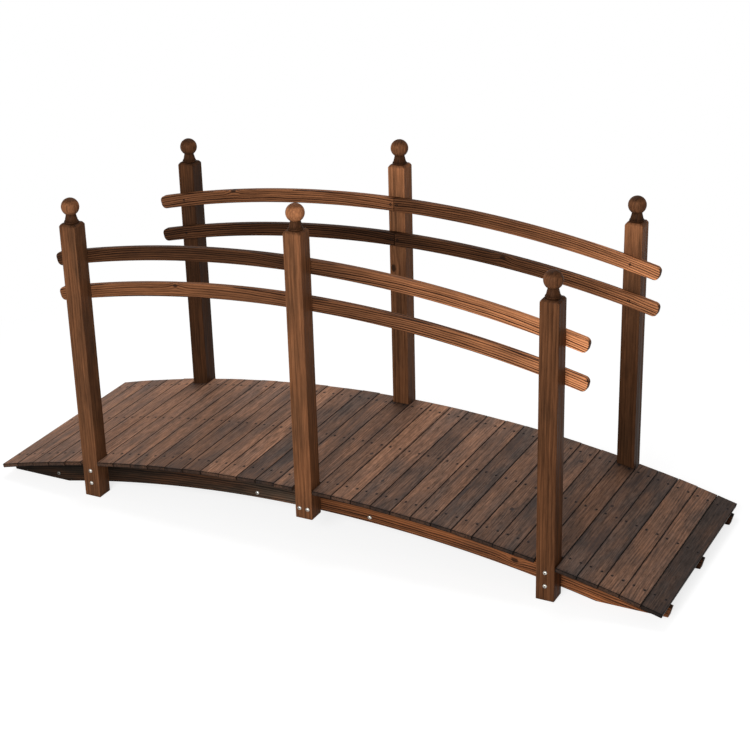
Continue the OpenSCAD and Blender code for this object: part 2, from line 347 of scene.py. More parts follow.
@dataclass
class WoodPatterns:
    """The node groups that every stained timber shares, and the measures of their patterns."""

    knot_least: float = 1e-5
    knot_squash: float = 0.62
    knot_ragged: float = 0.5
    knot_rim: Span = (0.9, 1.5)
    knot_fade: float = -0.11
    knot_bow: float = 1.3
    ring_bend: Span = (1.8, 1.4)
    ring_depth: Span = (-0.7, 0.75)
    ring_rise: Span = (0.22, 0.78)
    ring_drop: Span = (0.88, 1.0)
    patch_shift: Triple = (7.0, 3.0, 5.0)
    patch_ragged: float = 0.5
    patch_rim: Span = (0.46, 0.72)
    late_height: float = 0.5
    fibre_height: float = 0.55
    mottle_height: float = 0.35
    knot_height: float = 0.3
    edge_ragged: float = 0.003
    edge_rim: Span = (0.0004, 0.0030)
    end_rim: Span = (0.0, 0.014)
    halo_squash: float = 0.7
    halo_ragged: float = 0.004
    halo_rim: Span = (0.0018, 0.0058)

    def __post_init__(self) -> None:
        """Builds the three groups once."""
        self.grain = self.make_grain()
        self.arris = self.make_arris()
        self.nail_halo = self.make_nail_halo()

    def make_grain(self) -> NodeTree:
        """Builds the growth rings, fibres, stain blotches and the knot of a plank.

        Returns:
            The group's tree.
        """
        g = Group("plank_grain", ("Plank", "Pith", "Knot"), ("Ring Width", "Wander", "Odd"))
        plank, pith, ring_width = g.given["Plank"], g.given["Pith"], g.given["Ring Width"]
        spot = g.vector("ADD", plank, pith)
        along, across, _ = g.parts(plank)
        _, ring_y, ring_z = g.parts(spot)

        # The knot, and the bow of the rings round it.
        knot_along, knot_across, knot_size = g.parts(g.given["Knot"])
        knot_far = g.hypot((along - knot_along) * self.knot_squash, across - knot_across)
        turns = knot_far / g.math("MAXIMUM", knot_size, self.knot_least)
        turns += g.noise(spot, Speckle.KNOT) * self.knot_ragged
        knot = 1.0 - g.ramp(turns, *self.knot_rim)
        bow = g.math("EXPONENT", turns**2 * self.knot_fade) * knot_size * self.knot_bow

        # The rings, each with a latewood band of its own width and depth.
        swing = (g.noise(spot, Speckle.SWING) - 0.5) * g.given["Wander"]
        ripple = (g.noise(spot, Speckle.RIPPLE) - 0.5) * ring_width
        count = (g.hypot(ring_y, ring_z) + swing + ripple + bow) / ring_width
        year = g.math("FLOOR", count)
        drawn = {"W": year + g.parts(pith)[0]}
        chance = g.get("ShaderNodeTexWhiteNoise", drawn, "Value", noise_dimensions="1D")
        chance = (chance - 0.5) * g.given["Odd"]
        season = (count - year) ** g.math("MULTIPLY_ADD", chance, *self.ring_bend)
        band = g.ramp(season, *self.ring_rise) * (1.0 - g.ramp(season, *self.ring_drop))
        late = g.math("MULTIPLY", band, g.math("MULTIPLY_ADD", chance, *self.ring_depth), clamp=True)

        # The fibres, the uneven stain, and how high the surface stands.
        fields = (Speckle.FIBRE, Speckle.STREAK, Speckle.MOTTLE, Speckle.CLOUD)
        seen = {speckle.name.title(): g.noise(spot, speckle) for speckle in fields}
        patch = g.noise(g.vector("ADD", spot, self.patch_shift), Speckle.PATCH)
        patch += (seen["Mottle"] - 0.5) * self.patch_ragged
        height = late * self.late_height + seen["Fibre"] * self.fibre_height
        height = height + seen["Mottle"] * self.mottle_height - knot * self.knot_height
        seen |= {"Latewood": late, "Blotch": g.ramp(patch, *self.patch_rim), "Knot": knot, "Height": height}
        return g.give(seen)

    def make_arris(self) -> NodeTree:
        """Builds the masks of a plank's edges, which carry wear, painted highlight and painted shade, and
        of its thirsty end grain.

        Returns:
            The group's tree.
        """
        g = Group("plank_arris", ("Plank", "Half"), ())
        plank = g.given["Plank"]
        end, side, face = g.parts(g.vector("SUBTRACT", g.given["Half"], g.vector("ABSOLUTE", plank)))
        nearer, farther = g.math("MINIMUM", end, side), g.math("MAXIMUM", end, side)
        middle = g.math("MAXIMUM", nearer, g.math("MINIMUM", farther, face))
        ragged = middle + (g.noise(plank, Speckle.CHIP) - 0.5) * self.edge_ragged
        edge, soaked = g.ramp(ragged, *self.edge_rim), g.ramp(end, *self.end_rim)
        return g.give({"Edge": 1.0 - edge, "End": 1.0 - soaked})

    def make_nail_halo(self) -> NodeTree:
        """Builds the dark stain in the wood round the nails of a deck board.

        Returns:
            The group's tree.
        """
        g = Group("nail_halo", ("Plank",), ("Row", "Pair"))
        plank = g.given["Plank"]
        along, across, _ = g.parts(g.vector("ABSOLUTE", plank))
        to_outer = g.math("ABSOLUTE", along - g.given["Row"])
        to_row = g.math("MINIMUM", along, to_outer) * self.halo_squash
        far = g.hypot(to_row, across - g.given["Pair"])
        far += (g.noise(plank, Speckle.HALO) - 0.5) * self.halo_ragged
        return g.give({"Halo": 1.0 - g.ramp(far, *self.halo_rim)})


@dataclass(frozen=True)
class TimberFinish:
    """A stained timber: its colours, its grain and its surface."""

    name: str
    early: Colour
    late: Colour
    cold_early: Colour
    cold_late: Colour
    burn: Colour
    ring_width: float
    wander: float
    contrast: float
    fibre: float
    streak: float
    mottle: float
    cloud: float
    drift: float
    end_soak: float
    end_dark: float
    # Edge factor: above 0 it is wear and a painted highlight on the arrises, below 0 it is painted shade in
    # the seams between boards.
    edge_wear_and_painted_light: float
    roughness: float
    relief: float
    gloss: float = 0.03
    odd: float = 1.0
    nail_row: float = 0.0
    nail_pair: float = 0.0
    nail_burn: float = 0.9
    knot_burn: float = 0.85
    sawn_rim: Span = (0.35, 0.9)
    sheen: float = 0.18
    relief_depth: float = 0.0008

    def material(self, patterns: WoodPatterns) -> Material:
        """Builds the finish as a material.

        Args:
            patterns: The shared wood groups.

        Returns:
            The new material.
        """
        made, g = start_material(self.name)
        plank, half = g.attribute("plank"), g.attribute("half")
        tone, warmth, blotching = g.parts(g.attribute("stain"))
        grain = {"Plank": plank, "Pith": g.attribute("pith"), "Knot": g.attribute("knot")}
        grain |= {"Ring Width": self.ring_width, "Wander": self.wander, "Odd": self.odd}
        seen = g.use(patterns.grain, grain)

        # The colour of the rings, cold or warm.
        warmth = g.math("ADD", warmth, (seen["Cloud"] - 0.5) * self.drift, clamp=True)
        early = g.blend(warmth, self.cold_early, self.early)
        late = g.blend(warmth, self.cold_late, self.late)
        colour = g.blend(seen["Latewood"] * self.contrast, early, late)

        # The tone along the plank and over its surface, the blotches and the knot.
        share = g.math("MULTIPLY_ADD", g.parts(plank)[0] / g.parts(half)[0], 0.5, 0.5, clamp=True)
        start, end, bend = g.parts(g.attribute("lift"))
        lifted = start + (end - start) * share**bend
        uneven = 1.0
        amounts = {"Fibre": self.fibre, "Streak": self.streak, "Mottle": self.mottle, "Cloud": self.cloud}
        for name, amount in amounts.items():
            uneven = uneven + (seen[name] - 0.5) * amount
        colour = g.scaled(colour, tone * lifted * uneven)
        colour = g.blend(seen["Blotch"] * blotching, colour, self.burn)
        colour = g.blend(seen["Knot"] * self.knot_burn, colour, self.burn)

        # The edges, brighter on the posts with wear and a painted highlight and darker on the deck with
        # painted shade in the seams, the sawn ends and the stain round the nails.
        edges = g.use(patterns.arris, {"Plank": plank, "Half": half})
        edge_tone = 1.0 + edges["Edge"] * self.edge_wear_and_painted_light
        soaked = 1.0 - edges["End"] * self.end_soak
        darker = 1.0 - g.ramp(g.attribute(CUT_LAYER, "Fac"), *self.sawn_rim) * self.end_dark
        colour = g.scaled(colour, edge_tone * (soaked * darker))
        if self.nail_row:
            halo = g.use(patterns.nail_halo, {"Plank": plank, "Row": self.nail_row, "Pair": self.nail_pair})
            colour = g.blend(halo["Halo"] * self.nail_burn, colour, self.burn)

        matt = (seen["Fibre"] - seen["Latewood"]) * self.sheen
        bump = {"Height": seen["Height"], "Strength": self.relief, "Distance": self.relief_depth}
        looks = {"Base Color": colour, "Roughness": g.math("ADD", self.roughness, matt, clamp=True)}
        g.surface(looks | {"Specular IOR Level": self.gloss, "Normal": g.get("ShaderNodeBump", bump)})
        return made


@dataclass(frozen=True)
class MetalFinish:
    """A metal: its colour, its tarnish and how shiny it is."""

    name: str
    colour: Colour
    tarnish: Colour
    metallic: float
    roughness: float
    gloss: float = 0.5
    tarnish_rim: Span = (0.4, 0.75)
    scratched: float = 0.25
    relief: float = 0.15
    relief_depth: float = 0.0002

    def material(self) -> Material:
        """Builds the finish as a material.

        Returns:
            The new material.
        """
        made, g = start_material(self.name)
        spot = g.get("ShaderNodeTexCoord", {}, "Object")
        cloud = g.ramp(g.noise(spot, Speckle.TARNISH), *self.tarnish_rim)
        scratch = g.noise(spot, Speckle.SCRATCH)
        rough = (scratch - 0.5) * self.scratched
        bump = {"Height": scratch, "Strength": self.relief, "Distance": self.relief_depth}
        looks = {"Base Color": g.blend(cloud, self.colour, self.tarnish), "Metallic": self.metallic}
        looks |= {"Roughness": g.math("ADD", self.roughness, rough, clamp=True)}
        g.surface(looks | {"Specular IOR Level": self.gloss, "Normal": g.get("ShaderNodeBump", bump)})
        return made


# The deck's edge factor below 0 paints shade into the seams between the boards.
DECK_FINISH = TimberFinish(
    "deck_stain",
    early=srgb(146, 107, 84), late=srgb(78, 53, 42),
    cold_early=srgb(98, 82, 74), cold_late=srgb(54, 45, 42), burn=srgb(50, 43, 42),
    ring_width=0.0050, wander=0.022, contrast=0.50,
    fibre=2.2, streak=1.6, mottle=2.1, cloud=0.4, drift=2.2,
    end_soak=0.25, end_dark=0.58, edge_wear_and_painted_light=-0.92,
    roughness=0.60, relief=0.6, gloss=0.07, nail_row=0.278, nail_pair=0.016,
)
# The posts' edge factor above 0 is partly wear and partly a painted highlight on the arrises.
POST_FINISH = TimberFinish(
    "post_stain",
    early=srgb(148, 97, 64), late=srgb(74, 44, 28),
    cold_early=srgb(106, 76, 54), cold_late=srgb(56, 38, 28), burn=srgb(36, 24, 18),
    ring_width=0.0085, wander=0.014, contrast=0.42,
    fibre=1.5, streak=1.9, mottle=0.5, cloud=0.5, drift=1.6,
    end_soak=0.15, end_dark=0.50, edge_wear_and_painted_light=0.14, roughness=0.48, relief=0.5,
)
FINIAL_FINISH = replace(
    POST_FINISH, name="finial_stain", ring_width=0.008, contrast=0.5, end_dark=0.6, edge_wear_and_painted_light=0.0
)
RAIL_FINISH = TimberFinish(
    "rail_stain",
    early=srgb(192, 127, 85), late=srgb(58, 31, 19),
    cold_early=srgb(108, 76, 55), cold_late=srgb(44, 30, 22), burn=srgb(36, 24, 18),
    ring_width=0.0060, wander=0.010, contrast=1.22, odd=0.6,
    fibre=1.2, streak=1.8, mottle=0.2, cloud=0.3, drift=0.8,
    end_soak=0.0, end_dark=0.82, edge_wear_and_painted_light=0.0, roughness=0.48, relief=0.6,
)
STRINGER_FINISH = TimberFinish(
    "stringer_stain",
    early=srgb(178, 110, 67), late=srgb(62, 33, 19),
    cold_early=srgb(82, 67, 55), cold_late=srgb(40, 33, 28), burn=srgb(30, 21, 16),
    ring_width=0.0070, wander=0.016, contrast=1.0,
    fibre=1.2, streak=1.6, mottle=0.4, cloud=0.5, drift=1.2,
    end_soak=0.2, end_dark=0.92, edge_wear_and_painted_light=0.05, roughness=0.50, relief=0.55,
)
PLATED_STEEL = MetalFinish("plated_steel", srgb(200, 197, 190), srgb(142, 137, 127), 1.0, 0.34)
# A darker copy of the plated steel that paints shade on the tip bolts.
PAINTED_SHADE_STEEL = MetalFinish("tarnished_steel", srgb(104, 101, 96), srgb(66, 62, 58), 1.0, 0.5)
NAIL_STEEL = MetalFinish("nail_steel", srgb(26, 19, 16), srgb(14, 10, 9), 0.0, 0.7, 0.05)

# Each board's stain and its lift at the front and the back end, from left to right. Some boards beside the
# near posts have lower front lifts: partly stain, partly painted shadow of the posts.
BOARD_STAINS = [
    (MIDDLE, 1.0, 1.25), (MIDDLE, 1.0, 1.3), (MAUVE, 1.0, 1.35), (MIDDLE, 1.05, 1.4), (WARM, 0.95, 1.45),
    (WARM, 1.2, 1.2), (MIDDLE, 1.05, 1.3), (MIDDLE, 0.95, 1.1), (MAUVE, 0.85, 1.15), (MIDDLE, 0.6, 1.4),
    (MAUVE, 0.6, 1.4), (MAUVE, 0.7, 1.3), (MIDDLE, 1.04, 0.96), (TAN, 0.98, 0.94), (DUSK, 0.88, 1.04),
    (SLATE, 0.92, 1.1), (MAUVE, 0.96, 1.0), (MAUVE, 1.0, 0.98), (MAUVE, 0.65, 1.1), (TAN, 0.85, 1.0),
    (MAUVE, 0.85, 1.4), (DUSK, 0.88, 1.0), (MIDDLE, 0.82, 1.32), (MAUVE, 0.84, 1.04), (SLATE, 0.90, 1.0),
    (MAUVE, 0.80, 0.94), (DUSK, 0.80, 0.86), (DUSK, 0.84, 0.92), (DUSK, 0.6, 0.95), (MIDDLE, 0.72, 0.84),
    (SLATE, 0.88, 0.96), (SLATE, 0.84, 0.88), (MIDDLE, 0.84, 0.84), (MAUVE, 0.92, 0.88),
    (CHARRED, 0.86, 0.76),
]
# Knots by a board's steps from mid-span: along, across, radius.
BOARD_KNOTS = {
    -10: (0.0, 0.018, 0.004),
    -4: (0.12, -0.012, 0.005),
    1: (-0.064, 0.016, 0.005),
    3: (-0.20, -0.004, 0.0045),
    5: (-0.173, 0.004, 0.0035),
    9: (-0.15, 0.004, 0.006),
    10: (0.225, 0.008, 0.006),
    13: (0.05, -0.015, 0.005),
}
# Half outlines of heads, as distances from the axis and heights over the wood.
NAIL_OUTLINE = [(0.0, -0.0009), (0.00186, -0.0009), (0.0031, 0.0), (0.002542, 0.0003), (0.0, 0.0003)]
SCREW_OUTLINE = [
    (0.0, -0.003), (0.0021, -0.003), (0.0042, -0.0002), (0.003948, 0.0004), (0.0021, 0.0004),
    (0.001428, -0.0014), (0.0, -0.0018),
]


@dataclass(frozen=True)
class Plank:
    """One plank's own marks: half sizes along, across and through the grain, pith, stain, lift and knot.

    The lift is the factor of the tone at the plank's start and end, and the bend of the way between them.
    """

    half: Triple
    pith: Triple
    stain: Stain
    lift: Triple
    knot: Triple = NO_KNOT

    def mark(self, shape: BMesh, unbend: Unbend) -> None:
        """Writes the grain's coordinates and the plank's marks on a shape's points.

        Args:
            shape: The plank's shape, where the mapping expects it.
            unbend: Gives a point's place along, across and through the plank.
        """
        layers = [shape.verts.layers.float_vector.new(name) for name in GRAIN_LAYERS]
        cut = shape.verts.layers.float.new(CUT_LAYER)
        shape.normal_update()
        for vert in shape.verts:
            marks = (unbend(vert.co), self.half, self.pith, self.stain.value, self.lift, self.knot)
            for layer, mark in zip(layers, marks):
                vert[layer] = mark
            vert[cut] = self.end_grain(vert, unbend)

    def end_grain(self, vert: BMVert, unbend: Unbend) -> float:
        """Tells how far the surface at a point is cut across the grain.

        Args:
            vert: The point.
            unbend: Gives a point's place along, across and through the plank.

        Returns:
            0 where the surface runs with the grain, 1 where it is cut square.
        """
        steps = [Vector(GRAIN_PROBE if i == axis else 0.0 for i in range(3)) for axis in range(3)]
        grain = Vector(unbend(vert.co + step).x - unbend(vert.co - step).x for step in steps)
        return abs(grain.normalized().dot(vert.normal))


def draw_pith(draw: random.Random, across: Span, through: Span) -> Triple:
    """Draws where a plank's grain starts, and its pith's distance across and through the plank."""
    start, turn = draw.uniform(*PITH_STARTS), draw.choice((-1, 1))
    return (start, turn * draw.uniform(*across), draw.uniform(*through))


class Piece:
    """One object that is put together from finished shapes."""

    def __init__(self, name: str) -> None:
        """Starts an empty piece.

        Args:
            name: The object's name.
        """
        self.name = name
        self.shape = bmesh.new()
        for layer in GRAIN_LAYERS:
            self.shape.verts.layers.float_vector.new(layer)
        self.shape.verts.layers.float.new(CUT_LAYER)

    def lay(self, part: BMesh, place: Matrix) -> None:
        """Moves a finished shape into the piece.

        Args:
            part: The shape, which is used up.
            place: Where it goes.
        """
        bmesh.ops.transform(part, matrix=place, verts=part.verts)
        sheet = bpy.data.meshes.new("part_in_hand")
        part.to_mesh(sheet)
        part.free()
        self.shape.from_mesh(sheet)
        bpy.data.meshes.remove(sheet)

    def finish(self, material: Material, slot: str, *nodes: str) -> None:
        """Makes the object, dresses it and fixes it to the bridge.

        Args:
            material: The finish.
            slot: The record's material slot; not used.
            *nodes: The CAD nodes that the piece stands for.
        """
        mesh = bpy.data.meshes.new(self.name)
        self.shape.to_mesh(mesh)
        self.shape.free()
        mesh.materials.append(material)
        made = bpy.data.objects.new(self.name, mesh)
        bpy.context.scene.collection.objects.link(made)
        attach(made, BODY)
        if nodes:
            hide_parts(*nodes)
        LOG.info("%s: %d faces", self.name, len(mesh.polygons))


def add_plank(node: str, shape: BMesh, place: Matrix, material: Material, slot: str) -> None:
    """Makes the piece that stands for a node of one plank.

    Args:
        node: The CAD node.
        shape: The plank's shape, which is used up.
        place: Where it goes.
        material: The finish.
        slot: The record's material slot.
    """
    piece = Piece(f"{node}_wood")
    piece.lay(shape, place)
    piece.finish(material, slot, node)


def shift(shape: BMesh, x: float = 0.0, y: float = 0.0, z: float = 0.0) -> None:
    """Moves a whole shape."""
    bmesh.ops.translate(shape, verts=shape.verts, vec=(x, y, z))


def block(x: float, y: float, z: float) -> BMesh:
    """Makes a box.

    Args:
        x: Its size along X.
        y: Its size along Y.
        z: Its size along Z.

    Returns:
        The box, round the origin.
    """
    shape = bmesh.new()
    bmesh.ops.create_cube(shape, size=1.0)
    bmesh.ops.scale(shape, verts=shape.verts, vec=(x, y, z))
    return shape


def ease(shape: BMesh, edges: list[BMEdge], width: float, segments: int) -> None:
    """Rounds edges.

    Args:
        shape: The shape that the edges belong to.
        edges: The edges to round.
        width: How far the rounding reaches from the edge.
        segments: Faces across the rounding.
    """
    kind = {"affect": "EDGES", "offset_type": "OFFSET", "profile": 0.5, "material": -1}
    bmesh.ops.bevel(shape, geom=edges, offset=width, segments=segments, clamp_overlap=True, **kind)


def shade(shape: BMesh) -> None:
    """Shades the small faces smooth and keeps the broad ones flat, with all of them turned outwards.

    Args:
        shape: A closed shape.
    """
    bmesh.ops.recalc_face_normals(shape, faces=shape.faces)
    for face in shape.faces:
        face.smooth = face.calc_area() < FLAT_FACE_AREA


def long_edges(shape: BMesh) -> list[BMEdge]:
    """Finds the edges between an upright plank's two broad faces and its edge faces.

    Args:
        shape: A plank whose broad faces look along Y.

    Returns:
        The edges round both broad faces.
    """
    broad = {face for face in shape.faces if abs(face.normal.y) > SQUARE_ON}
    return [edge for edge in shape.edges if sum(face in broad for face in edge.link_faces) == 1]


def arc_bar(radii: Span, thickness: float, angles: list[float], steps: int) -> BMesh:
    """Makes a bar of rectangular section that follows an arc round the Y axis.

    Args:
        radii: The lower and upper edge's distance from the axis.
        thickness: The bar's size along Y, centred.
        angles: First and last angle from the Z axis towards +X.
        steps: Straight steps along the arc.

    Returns:
        The closed bar.
    """
    low, high = radii
    first, last = angles
    bar = bmesh.new()
    bmesh.ops.create_grid(bar, x_segments=1, y_segments=1, size=0.5)
    bmesh.ops.rotate(bar, verts=bar.verts, matrix=Matrix.Rotation(math.pi / 2, 3, "Y"))
    bmesh.ops.scale(bar, verts=bar.verts, vec=(1.0, thickness, high - low))
    shift(bar, z=(low + high) / 2)
    bmesh.ops.rotate(bar, verts=bar.verts, matrix=Matrix.Rotation(first, 3, "Y"))
    everything = bar.verts[:] + bar.edges[:] + bar.faces[:]
    bmesh.ops.spin(bar, geom=everything, cent=(0, 0, 0), axis=(0, 1, 0), angle=last - first, steps=steps)
    bmesh.ops.recalc_face_normals(bar, faces=bar.faces)
    return bar


def turned(outline: Profile, steps: int) -> BMesh:
    """Turns a half outline round the Z axis.

    Args:
        outline: Distances from the axis and heights, from the foot to the top.
        steps: Faces round the axis.

    Returns:
        The turned shape.
    """
    work = bmesh.new()
    points = [work.verts.new((radius, 0.0, height)) for radius, height in outline]
    line = points + [work.edges.new(pair) for pair in zip(points, points[1:])]
    axis = {"cent": (0, 0, 0), "axis": (0, 0, 1), "angle": 2 * math.pi}
    bmesh.ops.spin(work, geom=line, steps=steps, use_merge=True, **axis)
    bmesh.ops.remove_doubles(work, verts=work.verts, dist=SAME_SPOT)
    bmesh.ops.recalc_face_normals(work, faces=work.faces)
    return work


def spread(first: float, last: float, points: int) -> list[float]:
    """Spaces values evenly from the first to the last."""
    return [first + (last - first) * i / (points - 1) for i in range(points)]


def rounding(radius: float, centre: Span, degrees: Span, points: int) -> Profile:
    """Gives points on a circle, from one angle in degrees to another."""
    angles = [math.radians(angle) for angle in spread(*degrees, points)]
    return [(centre[0] + radius * math.cos(a), centre[1] + radius * math.sin(a)) for a in angles]


@dataclass
class Layout:
    """The sizes that the bridge's sub-assemblies share, in metres, and what follows from them."""

    arch_radius: float = 4.137
    board_width: float = 0.060
    board_pitch: float = 0.0618
    board_thickness: float = 0.012
    bay_boards: int = 12
    end_boards: int = 5
    tip_height: float = 0.029
    tip_overhang: float = 0.008
    stringer_depth: float = 0.078
    stringer_thickness: float = 0.022
    cleat_thickness: float = 0.022
    post_width: float = 0.0535
    post_out: float = 0.3430

    def __post_init__(self) -> None:
        """Works out the shared angles, heights and distances from mid-span and from the middle line."""
        self.last_board = self.bay_boards + self.end_boards
        self.board_step = self.board_pitch / self.arch_radius
        overhang = (self.board_width / 2 + self.tip_overhang) / self.arch_radius
        self.tip_angle = self.last_board * self.board_step + overhang
        self.tip_x = self.arch_radius * math.sin(self.tip_angle)
        self.crown = self.tip_height + self.arch_radius * (1 - math.cos(self.tip_angle))
        self.arch_centre = self.crown - self.arch_radius
        self.low_radius = self.arch_radius - self.stringer_depth
        self.post_in = self.post_out - self.post_width
        self.post_y = self.post_out - self.post_width / 2
        board_radius = self.arch_radius + self.board_thickness / 2
        self.post_x = board_radius * math.sin(self.bay_boards * self.board_step)

    def stringer_z(self, radius: float, x: float) -> float:
        """Height of an arc of the stringers at a distance from mid-span."""
        return self.arch_centre + math.sqrt(radius**2 - x**2)

    def plank_y(self, side: Side, thickness: float) -> float:
        """Middle of a plank that lies against the posts' inner faces."""
        return side * (self.post_in - thickness / 2)


@dataclass
class Deck:
    """The deck boards with their nails."""

    layout: Layout
    wood: Material
    steel: Material
    end_in: float = 0.0135
    front_out: float = 0.018
    swell: float = 0.0005
    short_gap: float = 0.0015
    arris: float = 0.0010
    skew: float = 0.0003
    slip: float = 0.0001
    stagger: float = 0.0020
    # Painted shadow of the back posts on the short boards' back ends: its factor and how sharply it falls
    # off.
    painted_post_shadow: float = 0.32
    painted_shadow_bend: float = 8.0
    pith_across: Span = (0.02, 0.09)
    pith_through: Span = (0.025, 0.07)
    nail_miss: Span = (0.0015, 0.0020)
    nail_steps: int = 10
    draw: random.Random = field(default_factory=lambda: random.Random(11))

    def build(self) -> None:
        """Lays all boards, one piece for each CAD node, and drives their nails."""
        bay, last = self.layout.bay_boards, self.layout.last_board
        groups = {
            "left_end_boards": range(-last, -bay),
            "left_short_board": [-bay],
            "left_bay_boards": range(1 - bay, 0),
            "middle_short_board": [0],
            "right_bay_boards": range(1, bay),
            "right_short_board": [bay],
            "right_end_boards": range(bay + 1, last + 1),
        }
        nails = Piece("deck_nails")
        for node, steps in groups.items():
            piece = Piece(f"{node}_wood")
            for step in steps:
                place = self.place(step)
                piece.lay(self.board(step), place)
                self.drive_nails(nails, place)
            piece.finish(self.wood, "deck_wood", node)
        nails.finish(self.steel, "plated_steel")

    def place(self, step: int) -> Matrix:
        """Finds a board's seat on the arch.

        Args:
            step: Steps from mid-span.

        Returns:
            The move there of a board that lies at the origin.
        """
        layout = self.layout
        turn = Matrix.Rotation(step * layout.board_step, 4, "Y")
        up = Matrix.Translation((0, 0, layout.arch_radius + layout.board_thickness / 2))
        return Matrix.Translation((0, 0, layout.arch_centre)) @ turn @ up

    def board(self, step: int) -> BMesh:
        """Saws one board, which is short where it fits between two posts.

        Args:
            step: Steps from mid-span.

        Returns:
            The board, flat at the origin with its length along Y.
        """
        layout, draw = self.layout, self.draw
        short = step % layout.bay_boards == 0
        reach = layout.post_in - self.short_gap if short else layout.post_out - self.end_in
        front_out = 0.0 if short else self.front_out
        half = (reach + front_out, layout.board_width / 2 + self.swell, layout.board_thickness / 2)
        shape = block(2 * half[1], 2 * reach + front_out, layout.board_thickness)
        shift(shape, y=-front_out / 2)
        ease(shape, shape.edges[:], self.arris, FINE_STEPS)
        shade(shape)
        stain, front, back = BOARD_STAINS[step + layout.last_board]
        pith = draw_pith(draw, self.pith_across, self.pith_through)
        # The short boards' back ends darken steeply next to the back posts: painted shadow of the posts.
        lift = (front, back * self.painted_post_shadow, self.painted_shadow_bend) if short else (front, back, 1.0)
        plank = Plank(half, pith, stain, lift, BOARD_KNOTS.get(step, NO_KNOT))
        plank.mark(shape, lambda co: Vector((co.y, co.x, co.z)))
        skew = 0.0 if short else draw.uniform(-self.skew, self.skew)
        bmesh.ops.rotate(shape, verts=shape.verts, matrix=Matrix.Rotation(skew, 3, "Z"))
        slip = draw.uniform(-self.slip, self.slip)
        shift(shape, slip, 0.0 if short else draw.uniform(-self.stagger, self.stagger))
        return shape

    def drive_nails(self, nails: Piece, place: Matrix) -> None:
        """Drives the two nails of each row through one board.

        Args:
            nails: The piece that the nails go into.
            place: The board's seat.
        """
        row, pair = DECK_FINISH.nail_row, DECK_FINISH.nail_pair
        for y, x in product((-row, 0.0, row), (-pair, pair)):
            nail = turned(NAIL_OUTLINE, self.nail_steps)
            shade(nail)
            miss_x, miss_y = (self.draw.uniform(-miss, miss) for miss in self.nail_miss)
            spot = (x + miss_x, y + miss_y, self.layout.board_thickness / 2)
            nails.lay(nail, place @ Matrix.Translation(spot))


